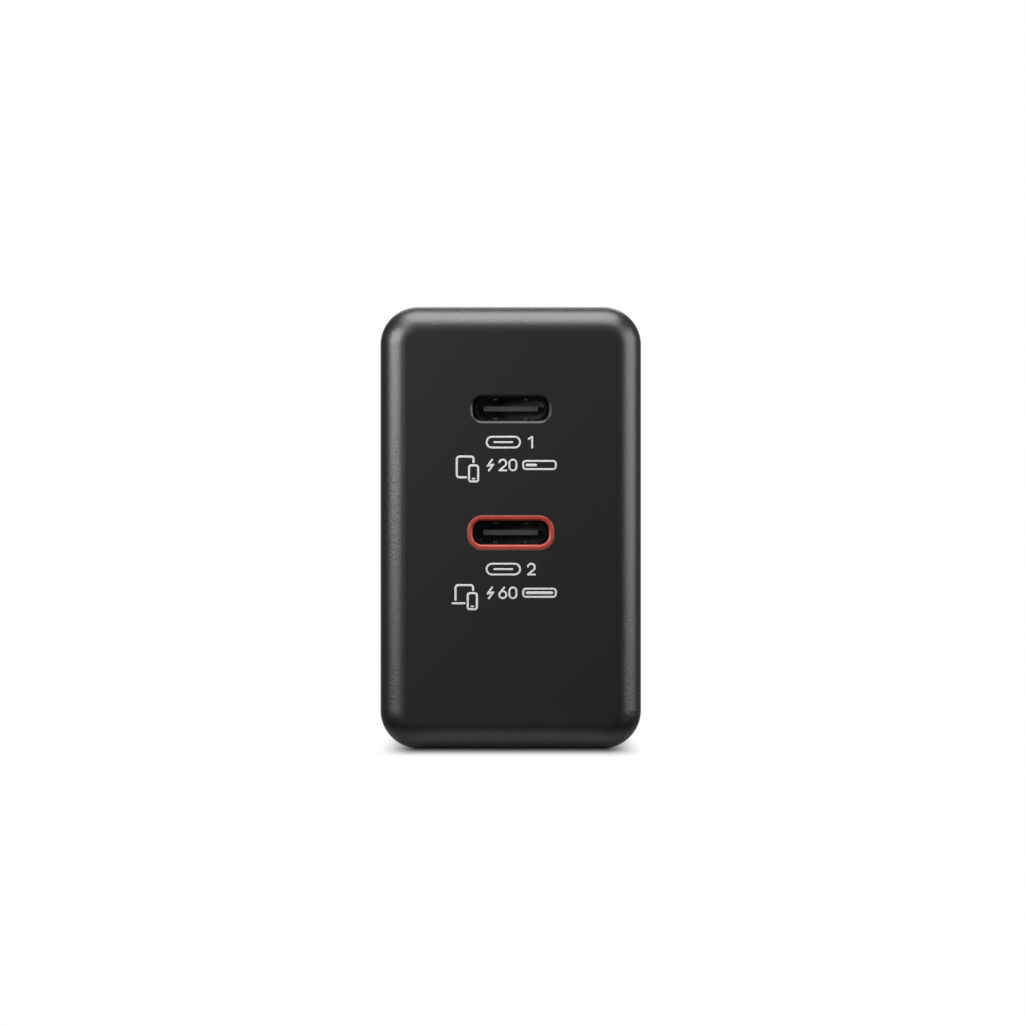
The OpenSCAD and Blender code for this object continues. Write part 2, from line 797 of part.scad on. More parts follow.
module thermistor() {
    color("#30503a") on_board(rear_row_y, thermistor_z) disc_part(thermistor_r, thermistor_t);
}

// Chips behind the main board, in a column between its ribs
module chip(z, l, w) { under_board(cap_row_y - bulk_r / 2, z) brick([l, w, chip_h]); }

module power_switch() { color("#1e1e21") chip(core_z, chip_w, chip_w); }
module rectifier_switch() { color("#1e1e21") chip(core_low, chip_w, chip_w); }
module controller_chip() { color("#26262a") chip(core_low - core_w / 2, chip_w, chip_w); }
module bridge_rectifier() { color("#26262a") chip(board_z0 + bridge_l, bridge_l, bridge_w); }

// Parts on the port board

module port_controller() {
    color("#26262a") on_port_board(post_x - inductor_w / 2, (upper_port_z + lower_port_z) / 2)
        brick([chip_w, chip_w, chip_h]);
}

module buck_inductors() {
    color("#4a4b4f") for (z = [upper_port_z, lower_port_z])
        on_port_board(in_x - board_edge - 0.6 - inductor_w / 2, z) brick([inductor_w, inductor_w, inductor_h]);
}

// Heat path: core, pad, spreader, insulation and case wall

module thermal_pad() {
    color("#9db7c4") on_board(core_y, core_z) translate([0, 0, core_h])
        brick([core_w - 1, core_d - 1, spreader_x - board_face - core_h]);
}

module heat_spreader() {
    color("#c87a45") translate([spreader_x, board_y0, sheet_low + sheet_margin])
        cube([spreader_t, tongue_y - 2 * sheet_margin - board_y0, sheet_top - sheet_low - 2 * sheet_margin]);
}

module insulation_sheet() {
    color("#dcdcc8") translate([in_x - sheet_t, board_y0, sheet_low])
        cube([sheet_t, tongue_y - sheet_margin - board_y0, sheet_top - sheet_low]);
}

front_case();
rear_cover();
port_ring();
usb_shell_upper();
usb_shell_lower();
usb_tongue_upper();
usb_tongue_lower();
usb_contacts_upper();
usb_contacts_lower();
prong_left();
prong_right();
prong_rotor();
prong_retainer();
retainer_screws();
contact_spring_left();
contact_spring_right();
mains_lead_left();
mains_lead_right();
port_board();
main_board();
board_header();
header_pins();
transformer_core();
transformer_bobbin();
transformer_winding();
bulk_capacitors();
output_capacitors();
choke_core();
choke_winding();
x_capacitor();
y_capacitor();
fuse();
thermistor();
bridge_rectifier();
optocoupler();
power_switch();
rectifier_switch();
controller_chip();
port_controller();
buck_inductors();
thermal_pad();
heat_spreader();
insulation_sheet();
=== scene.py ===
"""The looks of a two-port usb wall charger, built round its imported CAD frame.

The case, the sockets, the prongs and the parts inside are CAD nodes, and each gets the finish of
its own material. The grey marks printed on the face are new pieces, swept as thin strokes of ink.
Lengths in the classes below are in millimetres; the scene itself is in metres.
"""

import logging
import math
from dataclasses import dataclass
from enum import Enum
from typing import ClassVar, Optional, Sequence

import bpy
import numpy as np
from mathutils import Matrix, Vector

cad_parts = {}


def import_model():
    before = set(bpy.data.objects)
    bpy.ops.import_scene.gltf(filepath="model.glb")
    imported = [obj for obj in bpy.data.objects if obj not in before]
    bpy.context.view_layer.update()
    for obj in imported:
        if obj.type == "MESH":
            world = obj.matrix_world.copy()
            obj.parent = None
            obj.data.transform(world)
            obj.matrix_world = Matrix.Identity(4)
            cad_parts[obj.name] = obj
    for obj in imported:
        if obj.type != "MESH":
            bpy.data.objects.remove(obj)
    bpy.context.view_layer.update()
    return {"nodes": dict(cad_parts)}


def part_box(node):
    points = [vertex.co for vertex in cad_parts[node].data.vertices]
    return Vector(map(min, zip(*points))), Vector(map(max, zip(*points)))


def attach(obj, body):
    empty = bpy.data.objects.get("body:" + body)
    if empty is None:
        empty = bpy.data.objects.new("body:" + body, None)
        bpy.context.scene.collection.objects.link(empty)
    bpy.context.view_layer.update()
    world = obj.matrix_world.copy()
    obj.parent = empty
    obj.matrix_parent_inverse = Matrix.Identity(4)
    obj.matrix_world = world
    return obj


log = logging.getLogger("charger")

MM = 0.001
# The least difference that counts, as a length in millimetres or as a sine.
TINY = 1e-6


class Body(Enum):
    """The body that new pieces ride on."""

    CASE = "case"


# ---------------------------------------------------------------- colours and nodes


def linear(hex_colour: str) -> tuple[float, float, float, float]:
    """Turns an sRGB hex colour into linear values, by the sRGB curve.

    Args:
        hex_colour: six hex digits after a hash sign.

    Returns:
        Red, green and blue, linear, and one for opaque.
    """
    parts = [int(hex_colour[k : k + 2], 16) / 255 for k in (1, 3, 5)]
    rgb = [c / 12.92 if c <= 0.04045 else ((c + 0.055) / 1.055) ** 2.4 for c in parts]
    return (rgb[0], rgb[1], rgb[2], 1.0)


def add_node(
    tree: bpy.types.NodeTree, kind: str, settings: Optional[dict] = None, **links: object
) -> bpy.types.Node:
    """Adds one shader node.

    Args:
        tree: the node tree it goes in.
        kind: the node's type, without the word ShaderNode in front.
        settings: attributes of the node, and values of its inputs by name or index.
        links: input name, with underscores for spaces, to the output socket that feeds it.

    Returns:
        The new node.
    """
    node = tree.nodes.new("ShaderNode" + kind)
    for name, value in (settings or {}).items():
        if isinstance(name, int) or name in node.inputs:
            node.inputs[name].default_value = value
        else:
            setattr(node, name, value)
    for name, source in links.items():
        key = int(name[1:]) if name[0] == "i" and name[1:].isdigit() else name.replace("_", " ")
        tree.links.new(source, node.inputs[key])
    return node


def new_material(name: str) -> tuple[bpy.types.Material, bpy.types.NodeTree]:
    """Makes an empty node material with only its output.

    Args:
        name: the material's name.

    Returns:
        The material and its node tree.
    """
    material = bpy.data.materials.new(name)
    material.use_nodes = True
    tree = material.node_tree
    tree.nodes.clear()
    tree.nodes.new("ShaderNodeOutputMaterial")
    return material, tree


def end_with(tree: bpy.types.NodeTree, shader: bpy.types.Node) -> None:
    """Links a shader to the material's output."""
    out = next(n for n in tree.nodes if n.bl_idname == "ShaderNodeOutputMaterial")
    tree.links.new(shader.outputs[0], out.inputs["Surface"])


def per_metre(size_mm: float) -> float:
    """The texture scale at which one cell of a pattern is this many millimetres."""
    return 1.0 / (size_mm * MM)


# ---------------------------------------------------------------- finishes


@dataclass(frozen=True)
class Moulded:
    """Moulded plastic: one colour, mottled a little, with a spark-eroded grain from the tool.

    The grain scatters the gloss, so the surface looks satin and its highlights are soft. A soft
    edge rounds the look of sharp edges, as moulds leave them. Behind a depth a paler colour may be
    painted on, as painted light for a deep part that the lamps leave dark.
    Ahead of a depth the tool may be polished finer, with only a share of the grain.
    """

    name: str
    colour: str
    roughness: float = 0.45
    ior: float = 1.5
    specular: float = 0.5
    grain_mm: float = 0.16
    grain_depth_mm: float = 0.004
    mottle: float = 0.12
    wave_mm: float = 2.4
    wave_depth_mm: float = 0.0
    # Painted light: a paler colour behind a depth, for a deep part that the lamps leave dark.
    painted_light_colour: Optional[str] = None
    painted_light_behind_mm: float = 0.0
    soft_edge_mm: float = 0.0
    polished_to_mm: Optional[tuple[float, float]] = None
    polished_grain: float = 1.0
    gloss_spread: float = 0.05
    noise_mean: float = 0.5

    def build(self) -> bpy.types.Material:
        """Makes the material.

        Returns:
            The new material.
        """
        material, tree = new_material(self.name)
        place = add_node(tree, "TexCoord").outputs["Object"]
        depth = add_node(tree, "SeparateXYZ", Vector=place).outputs["Y"]
        grain, wave = self.patterns(tree, place, depth)
        rough = add_node(
            tree,
            "MapRange",
            {
                "To Min": self.roughness - self.gloss_spread,
                "To Max": self.roughness + self.gloss_spread,
            },
            Value=grain,
        )
        shader = add_node(
            tree,
            "BsdfPrincipled",
            {"IOR": self.ior, "Specular IOR Level": self.specular},
            Base_Color=self.shade(tree, wave, depth),
            Roughness=rough.outputs["Result"],
            Normal=self.relief(tree, grain, wave),
        )
        end_with(tree, shader)
        return material

    def patterns(
        self, tree: bpy.types.NodeTree, place: bpy.types.NodeSocket, depth: bpy.types.NodeSocket
    ) -> tuple[bpy.types.NodeSocket, bpy.types.NodeSocket]:
        """Two noises, the fine grain and a wider wave, both weaker where the tool is polished.

        Args:
            tree: the material's node tree.
            place: where on the piece the spot is.
            depth: how far back the spot is.

        Returns:
            The grain and the wave, from 0 to 1.
        """
        grain = add_node(
            tree,
            "TexNoise",
            {"Scale": per_metre(self.grain_mm), "Detail": 2.0, "Roughness": 0.6},
            Vector=place,
        ).outputs["Fac"]
        wave = add_node(
            tree, "TexNoise", {"Scale": per_metre(self.wave_mm), "Detail": 3.0}, Vector=place
        ).outputs["Fac"]
        if self.polished_to_mm:
            start, stop = self.polished_to_mm
            share = add_node(
                tree,
                "MapRange",
                {"From Min": start * MM, "From Max": stop * MM, "To Min": self.polished_grain},
                Value=depth,
            ).outputs["Result"]
            mean = {2: self.noise_mean}
            grain = add_node(tree, "Mix", mean, i0=share, i3=grain).outputs[0]
            wave = add_node(tree, "Mix", mean, i0=share, i3=wave).outputs[0]
        return grain, wave

    def shade(
        self, tree: bpy.types.NodeTree, wave: bpy.types.NodeSocket, depth: bpy.types.NodeSocket
    ) -> bpy.types.NodeSocket:
        """The colour, mottled by the wave, and behind a depth a paler one that is painted light.

        Args:
            tree: the material's node tree.
            wave: the wider pattern, from 0 to 1.
            depth: how far back the spot is.

        Returns:
            The colour there.
        """
        tint = linear(self.colour)
        dark = tuple(c * (1 - self.mottle) for c in tint[:3]) + (1.0,)
        light = tuple(c * (1 + self.mottle) for c in tint[:3]) + (1.0,)
        colour = add_node(tree, "Mix", {"data_type": "RGBA", 6: dark, 7: light}, i0=wave)
        # Painted light: behind the depth the colour is swapped for a paler one.
        if self.painted_light_colour:
            behind = add_node(
                tree, "Math", {"operation": "GREATER_THAN", 1: self.painted_light_behind_mm * MM}, i0=depth
            )
            colour = add_node(
                tree,
                "Mix",
                {"data_type": "RGBA", 7: linear(self.painted_light_colour)},
                i0=behind.outputs[0],
                i6=colour.outputs[2],
            )
        return colour.outputs[2]

    def relief(
        self, tree: bpy.types.NodeTree, grain: bpy.types.NodeSocket, wave: bpy.types.NodeSocket
    ) -> bpy.types.NodeSocket:
        """The surface's normals: soft edges first, then the grain, and the wave on top.

        Args:
            tree: the material's node tree.
            grain: the fine pattern, from 0 to 1.
            wave: the wider pattern, from 0 to 1.

        Returns:
            The normals.
        """
        normal = add_node(
            tree, "Bump", {"Strength": 1.0, "Distance": self.grain_depth_mm * MM}, Height=grain
        )
        if self.soft_edge_mm:
            edge = add_node(tree, "Bevel", {"samples": 6, "Radius": self.soft_edge_mm * MM})
            tree.links.new(edge.outputs["Normal"], normal.inputs["Normal"])
        if self.wave_depth_mm:
            normal = add_node(
                tree,
                "Bump",
                {"Strength": 1.0, "Distance": self.wave_depth_mm * MM},
                Height=wave,
                Normal=normal.outputs["Normal"],
            )
        return normal.outputs["Normal"]


@dataclass(frozen=True)
class Metal:
    """Plated or bare metal: a metallic colour with fine drawn lines and worn gloss.

    The lines run along one axis, where the pattern is stretched. Real ones are finer, and they are
    drawn as coarse as they need to show.
    """

    name: str
    colour: str
    roughness: float = 0.3
    line_mm: float = 0.12
    stretch: float = 14.0
    along: tuple[float, float, float] = (0.0, 0.0, 1.0)
    line_depth_mm: float = 0.0008
    tarnish: float = 0.12
    tarnish_mm: float = 3.0
    gloss_spread: float = 0.1
    least_roughness: float = 0.05

    def build(self) -> bpy.types.Material:
        """Makes the material.

        Returns:
            The new material.
        """
        material, tree = new_material(self.name)
        place = add_node(tree, "TexCoord").outputs["Object"]
        scale = tuple(1 / self.stretch if a else 1.0 for a in self.along)
        drawn = add_node(tree, "Mapping", {"Scale": scale}, Vector=place)
        lines = add_node(
            tree,
            "TexNoise",
            {"Scale": per_metre(self.line_mm), "Detail": 3.0, "Roughness": 0.55},
            Vector=drawn.outputs["Vector"],
        )
        cloud = add_node(
            tree, "TexNoise", {"Scale": per_metre(self.tarnish_mm), "Detail": 4.0}, Vector=place
        )
        tint = linear(self.colour)
        dull = tuple(c * (1 - self.tarnish) for c in tint[:3]) + (1.0,)
        colour = add_node(
            tree, "Mix", {"data_type": "RGBA", 6: dull, 7: tint}, i0=cloud.outputs["Fac"]
        )
        rough = add_node(
            tree,
            "MapRange",
            {
                "To Min": max(self.least_roughness, self.roughness - self.gloss_spread),
                "To Max": self.roughness + self.gloss_spread,
            },
            Value=lines.outputs["Fac"],
        )
        bump = add_node(
            tree,
            "Bump",
            {"Strength": 1.0, "Distance": self.line_depth_mm * MM},
            Height=lines.outputs["Fac"],
        )
        shader = add_node(
            tree,
            "BsdfPrincipled",
            {"Metallic": 1.0},
            Base_Color=colour.outputs[2],
            Roughness=rough.outputs["Result"],
            Normal=bump.outputs["Normal"],
        )
        end_with(tree, shader)
        return material


@dataclass(frozen=True)
class Ink:
    """Pad-printed ink: light grey, flat, with a faint uneven cover."""

    name: str = "pad_printed_ink"
    colour: str = "#c9c9c9"
    roughness: float = 0.55
    ior: float = 1.5
    cover_mm: float = 0.6
    thin_cover: float = 0.93

    def build(self) -> bpy.types.Material:
        """Makes the material.

        Returns:
            The new material.
        """
        material, tree = new_material(self.name)
        place = add_node(tree, "TexCoord").outputs["Object"]
        cover = add_node(
            tree, "TexNoise", {"Scale": per_metre(self.cover_mm), "Detail": 2.0}, Vector=place
        )
        tint = linear(self.colour)
        thin = tuple(c * self.thin_cover for c in tint[:3]) + (1.0,)
        colour = add_node(
            tree, "Mix", {"data_type": "RGBA", 6: thin, 7: tint}, i0=cover.outputs["Fac"]
        )
        shader = add_node(
            tree,
            "BsdfPrincipled",
            {"Roughness": self.roughness, "IOR": self.ior},
            Base_Color=colour.outputs[2],
        )
        end_with(tree, shader)
        return material


class Finish(Enum):
    """Every finish on the charger, by the material that it is."""

    # Satin black polycarbonate from a spark-eroded tool: near black, with soft edges of light. The
    # real grain is too fine to show, so it is drawn as coarse as it needs to be.
    CASE = Moulded(
        "satin_black_polycarbonate",
        "#080809",
        roughness=0.385,
        specular=1.0,
        grain_mm=0.34,
        grain_depth_mm=0.022,
        wave_depth_mm=0.014,
        soft_edge_mm=0.1,
        polished_to_mm=(-19.98, -19.8),
        polished_grain=0.15,
    )
    # Tinted polycarbonate ring: a warm red that looks orange where light grazes it.
    RING = Moulded(
        "red_polycarbonate",
        "#9d3428",
        roughness=0.34,
        specular=0.8,
        grain_depth_mm=0.002,
        soft_edge_mm=0.24,
    )
    # Black nickel on the receptacle's steel shell: dark, with dull grey glints.
    SHELL = Metal("black_nickel_plate", "#3a3a3e", roughness=0.38, along=(0.0, 1.0, 0.0))
    # Glass-filled liquid crystal polymer: a flat dark grey tongue. Its base, the back wall of the
    # socket, is painted paler grey, as painted light where light would reach in.
    TONGUE = Moulded(
        "liquid_crystal_polymer",
        "#3f3f41",
        roughness=0.55,
        grain_mm=0.1,
        # The paler grey behind this depth is painted light on the socket's back wall.
        painted_light_colour="#787879",
        painted_light_behind_mm=-14.4,
    )
    # Gold flash on the contacts: small warm lines.
    CONTACT = Metal("gold_flash", "#d9ae55", roughness=0.25, line_mm=0.05)
    # Nickel on brass blades: bright, with fine rolling lines along their length.
    BLADE = Metal("nickel_plated_brass", "#d0cfcb", roughness=0.36)
    # Glass-filled nylon of the rotor and retainer: black, duller than the case.
    NYLON = Moulded("glass_filled_nylon", "#1a1a1b", roughness=0.5, specular=0.4, grain_mm=0.14)
    # Zinc on the screws: a cool grey.
    ZINC = Metal("zinc_plated_steel", "#b4b8bd", roughness=0.35)
    # Phosphor bronze springs: a warm copper tone.
    BRONZE = Metal("phosphor_bronze", "#c08a50", roughness=0.3)
    # Silicone insulation of the leads: soft blue and brown.
    LEAD_BLUE = Moulded("blue_silicone_insulation", "#2c4f9e", roughness=0.6)
    LEAD_BROWN = Moulded("brown_silicone_insulation", "#5c3a24", roughness=0.6)
    # Solder mask over woven glass: glossy green.
    BOARD = Moulded("green_solder_mask", "#1c5a34", roughness=0.3, grain_mm=0.5, mottle=0.2)
    # Sintered ferrite: dark, dense and slightly sparkling.
    FERRITE = Moulded("sintered_ferrite", "#37383a", roughness=0.5, grain_mm=0.08, mottle=0.25)
    # Phenolic bobbin: tan and flat.
    BOBBIN = Moulded("phenolic_moulding", "#b9a878", roughness=0.5)
    # Polyester tape over the winding: glossy yellow.
    TAPE = Moulded("polyester_tape", "#d9ae2e", roughness=0.25, wave_mm=6.0, mottle=0.15)
    # Shrink sleeve on the bulk capacitors: dark glossy blue.
    SLEEVE = Moulded("shrink_sleeve", "#1f3a74", roughness=0.3)
    # Bare drawn aluminium cans: pale, with a soft shine.
    CAN = Metal("drawn_aluminium", "#c3c6c9", roughness=0.3, along=(1.0, 0.0, 0.0))
    # Enamelled copper wire: a deep orange metal.
    WIRE = Metal("enamelled_copper", "#b5622c", roughness=0.25, line_mm=0.35)
    # Film capacitor's box: flat yellow.
    FILM_BOX = Moulded("polybutylene_box", "#c79c22", roughness=0.45)
    # Dipped epoxy discs: glossy blue and green.
    BLUE_EPOXY = Moulded("blue_dipped_epoxy", "#3c6eb0", roughness=0.3, mottle=0.2)
    GREEN_EPOXY = Moulded("green_dipped_epoxy", "#2f5139", roughness=0.3, mottle=0.2)
    # Thermoset body of the fuse: a plain brown.
    FUSE = Moulded("brown_thermoset", "#7c4228", roughness=0.4)
    # Moulded epoxy of the chip packages: flat white and flat black.
    WHITE_CHIP = Moulded("white_epoxy_package", "#e6e4da", roughness=0.5)
    CHIP = Moulded("black_epoxy_package", "#202022", roughness=0.45, grain_mm=0.1)
    # Silicone gap filler: soft grey-blue.
    PAD = Moulded("silicone_gap_filler", "#97acb8", roughness=0.7, grain_mm=0.3)
    # Rolled copper sheet: a warm, bright metal.
    COPPER = Metal("rolled_copper", "#c9794a", roughness=0.28)
    # Polyester film: pale and glossy.
    FILM = Moulded("polyester_film", "#d8d8c6", roughness=0.2, mottle=0.05)
    # Pad-printed ink of the marks on the face: a flat light grey.
    INK = Ink()

    def material(self) -> bpy.types.Material:
        """The finish's material, made on its first use."""
        found = bpy.data.materials.get(self.value.name)
        return found or self.value.build()


# ---------------------------------------------------------------- meshes


def new_piece(
    name: str, points: np.ndarray, faces: list[list[int]], body: Body, finish: Finish
) -> None:
    """Makes a piece from its surface and sets it on its body.

    Args:
        name: the piece's name.
        points: vertices as rows of x, y, z, in metres.
        faces: vertex numbers, face by face.
        body: the body that it rides on.
        finish: its finish.
    """
    mesh = bpy.data.meshes.new(name)
    mesh.from_pydata(points.tolist(), [], faces)
    mesh.shade_smooth()
    mesh.update()
    piece = bpy.data.objects.new(name, mesh)
    bpy.context.scene.collection.objects.link(piece)
    mesh.materials.append(finish.material())
    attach(piece, body.value)
    log.info("made %s: %d faces", name, len(mesh.polygons))


def arc(cx: float, cz: float, r: float, start: float, stop: float, steps: int = 14) -> np.ndarray:
    """Points on a circle in the face's plane: centre plus r times cosine and sine.

    Args:
        cx, cz: the centre.
        r: the radius.
        start, stop: the first and last angle, in degrees.
        steps: how many points.

    Returns:
        Rows of x, z.
    """
    a = np.radians(np.linspace(start, stop, steps))
    return np.stack([cx + r * np.cos(a), cz + r * np.sin(a)], axis=1)


def round_box(x0: float, z0: float, x1: float, z1: float, r: float, steps: int = 7) -> np.ndarray:
    """A rectangle with round corners, as one closed path of four arcs.

    Args:
        x0, z0: the lower left corner.
        x1, z1: the upper right corner.
        r: the corners' radius.
        steps: how many points each arc has.

    Returns:
        Rows of x, z, the last the same as the first.
    """
    left, low, right, high = x0 + r, z0 + r, x1 - r, z1 - r
    turns = ((right, high, 0), (left, high, 90), (left, low, 180), (right, low, 270))
    path = np.concatenate([arc(x, z, r, turn, turn + 90, steps) for x, z, turn in turns])
    return np.concatenate([path, path[:1]])


def line(*points: tuple[float, float]) -> np.ndarray:
    """Straight stretches through the given points."""
    return np.array(points, float)


def shift(path: np.ndarray, dx: float, dz: float) -> np.ndarray:
    """Moves a path."""
    return path + np.array([dx, dz])


def resample(path: np.ndarray, step: float) -> np.ndarray:
    """Spreads points evenly along a path by its running length, and keeps its own points.

    Args:
        path: rows of x, z.
        step: the most that two points may be apart.

    Returns:
        Rows of x, z.
    """
    length = np.concatenate([[0], np.cumsum(np.linalg.norm(np.diff(path, axis=0), axis=1))])
    count = max(2, int(math.ceil(length[-1] / step)) + 1)
    at = np.union1d(np.linspace(0, length[-1], count), length)
    at = at[np.concatenate([[True], np.diff(at) > TINY])]
    return np.stack([np.interp(at, length, path[:, k]) for k in (0, 1)], axis=1)


@dataclass(frozen=True)
class Stroke:
    """One stroke of ink on the face: a path swept by a low, round-topped section."""

    path: np.ndarray
    width: float = 0.24
    closed: bool = False
    height: float = 0.012
    sunk: float = 0.004
    step: float = 0.06
    sides: int = 8
    cap_rings: int = 5
    cap_turn: float = 86.0

    def surface(self, face_y: float) -> tuple[np.ndarray, list[list[int]]]:
        """Works out the stroke's closed surface.

        The section is the upper half of an ellipse, width across and height high, on a flat bottom
        sunk below the face. It is carried along the path, and square to it.

        Args:
            face_y: where the face's plane is, in millimetres.

        Returns:
            Vertices in metres and faces.
        """
        path = resample(self.path, self.step)
        ahead = np.gradient(path, axis=0)
        if self.closed:
            path = path[:-1]
            ahead = np.roll(path, -1, axis=0) - np.roll(path, 1, axis=0)
        ahead /= np.linalg.norm(ahead, axis=1, keepdims=True)
        scale = np.ones(len(path))
        if not self.closed:
            path, ahead, scale = self.capped(path, ahead)
        across = np.stack([ahead[:, 1], -ahead[:, 0]], axis=1)
        angle = np.linspace(0, 2 * np.pi, self.sides, endpoint=False)
        side = np.cos(angle) * self.width / 2
        rise = np.where(np.sin(angle) >= -TINY, np.sin(angle) * self.height, -self.sunk)
        flat = path[:, None, :] + across[:, None, :] * (side * scale[:, None])[:, :, None]
        depth = face_y - rise[None, :] * np.ones_like(scale)[:, None]
        points = np.stack([flat[..., 0], depth, flat[..., 1]], axis=2).reshape(-1, 3) * MM
        return points, self.joined(len(path))

    def capped(
        self, path: np.ndarray, ahead: np.ndarray
    ) -> tuple[np.ndarray, np.ndarray, np.ndarray]:
        """Adds the half-round ends of an open path.

        There the sections move on by half a width times the sine, and narrow by the cosine, of an
        angle from 0 to cap_turn, which is almost 90 degrees.

        Args:
            path: rows of x, z.
            ahead: the path's direction at each row.

        Returns:
            The longer path, its directions, and each section's share of the full width.
        """
        turn = np.linspace(0, np.radians(self.cap_turn), self.cap_rings + 1)[1:]
        reach = self.width / 2 * np.sin(turn)[:, None]
        first = path[0] - ahead[0] * reach
        last = path[-1] + ahead[-1] * reach
        more = len(turn)
        directions = [np.repeat(ahead[:1], more, 0), ahead, np.repeat(ahead[-1:], more, 0)]
        shares = [np.cos(turn)[::-1], np.ones(len(path)), np.cos(turn)]
        path = np.concatenate([first[::-1], path, last])
        return path, np.concatenate(directions), np.concatenate(shares)

    def joined(self, rings: int) -> list[list[int]]:
        """Joins each section to the next with quads, and closes an open path's two ends.

        Args:
            rings: how many sections there are.

        Returns:
            Vertex numbers, face by face.
        """
        sides = self.sides
        ring = np.arange(rings if self.closed else rings - 1)[:, None]
        k = np.arange(sides)[None, :]
        a, b = ring * sides + k, ring * sides + (k + 1) % sides
        c = (ring + 1) % rings * sides + (k + 1) % sides
        d = (ring + 1) % rings * sides + k
        faces = np.stack([a, b, c, d], axis=2).reshape(-1, 4).tolist()
        if not self.closed:
            faces.append(list(range(sides))[::-1])
            faces.append([(rings - 1) * sides + n for n in range(sides)])
        return faces


def print_mark(name: str, strokes: Sequence[Stroke], face_y: float) -> None:
    """Makes one printed mark from its strokes.

    Args:
        name: the piece's name.
        strokes: its strokes, in the face's x and z.
        face_y: where the face's plane is, in millimetres.
    """
    points: list[np.ndarray] = []
    faces: list[list[int]] = []
    count = 0
    for stroke in strokes:
        more, quads = stroke.surface(face_y)
        points.append(more)
        faces += [[n + count for n in quad] for quad in quads]
        count += len(more)
    new_piece(name, np.concatenate(points), faces, Body.CASE, Finish.INK)


@dataclass(frozen=True)
class Numeral:
    """A plain numeral of one line weight, on a box height high and width wide."""

    digit: int
    height: float = 1.32
    width: float = 0.86

    def strokes(self, x: float, z: float) -> list[Stroke]:
        """Draws the numeral, with its bends and ends at shares of its box.

        Args:
            x, z: its lower left corner.

        Returns:
            Its strokes.
        """
        w, h = self.width, self.height
        r = w / 2
        closed: list[np.ndarray] = []
        paths: list[np.ndarray] = []
        if self.digit == 0:
            closed = [round_box(0, 0, w, h, r)]
        elif self.digit == 1:
            stem, flag = 0.62 * w, (0.12 * w, 0.8 * h)
            paths = [line(flag, (stem, h)), line((stem, h), (stem, 0))]
        elif self.digit == 2:
            heel, bowl = (0.02, 0.0), (165, -38)
            neck = np.concatenate([arc(r, h - r, r, *bowl), line(heel)])
            paths = [neck, line(heel, (w, 0.0))]
        elif self.digit == 6:
            waist, tip = (0.08 * w, 1.4 * r), (0.7 * w, h)
            closed = [arc(r, r, r, 0, 360, steps=25)]
            paths = [line(waist, tip)]
        else:
            raise ValueError(f"no numeral {self.digit}")
        strokes = [Stroke(shift(path, x, z), closed=True) for path in closed]
        return strokes + [Stroke(shift(path, x, z)) for path in paths]


class Device(Enum):
    """What a pictogram shows behind its phone."""

    TABLET = "tablet"
    LAPTOP = "laptop"


@dataclass(frozen=True)
class Pictogram:
    """A phone in front of a tablet or a laptop, whose outline stops short of the phone."""

    device: Device
    pen: float = 0.27
    key_pen: float = 0.2
    corner: float = 0.32
    corner_steps: int = 6
    above_phone: float = 2.36
    phone_width: float = 1.12
    phone_height: float = 1.96
    phone_corner: float = 0.26
    key: tuple[tuple[float, float], ...] = ((0.44, 0.34), (0.68, 0.34))

    def screen(self, begin: np.ndarray, left: float, right: float, top: float) -> np.ndarray:
        """The device's outline: from its beginning over the top and down to above the phone.

        Args:
            begin: the outline up to the left side.
            left, right, top: where its sides and its top are.

        Returns:
            Rows of x, z.
        """
        r, steps = self.corner, self.corner_steps
        return np.concatenate(
            [
                begin,
                arc(left + r, top - r, r, 180, 90, steps),
                arc(right - r, top - r, r, 90, 0, steps),
                line((right, self.above_phone)),
            ]
        )

    def strokes(self, x: float, z: float) -> list[Stroke]:
        """Draws the pictogram.

        Args:
            x, z: its lower left corner.

        Returns:
            Its strokes.
        """
        r = self.corner
        if self.device is Device.TABLET:
            foot, foot_end, phone_x = 0.5, 1.12, 1.5
            turn = arc(r, foot + r, r, 270, 180, self.corner_steps)
            begin = np.concatenate([line((foot_end, foot)), turn])
            behind = [self.screen(begin, left=0.0, right=2.05, top=3.05)]
        else:
            left, base, base_end, hinge, phone_x = 0.34, 0.72, 1.42, 0.45, 1.84
            lid = self.screen(line((left, base + hinge)), left, right=2.5, top=2.95)
            behind = [lid, line((0.0, base), (base_end, base))]
        right = phone_x + self.phone_width
        phone = round_box(phone_x, 0.0, right, self.phone_height, self.phone_corner)
        key = shift(line(*self.key), phone_x, 0.0)
        marks = [Stroke(shift(path, x, z), self.pen) for path in behind]
        marks.append(Stroke(shift(phone, x, z), self.pen, closed=True))
        marks.append(Stroke(shift(key, x, z), self.key_pen))
        return marks


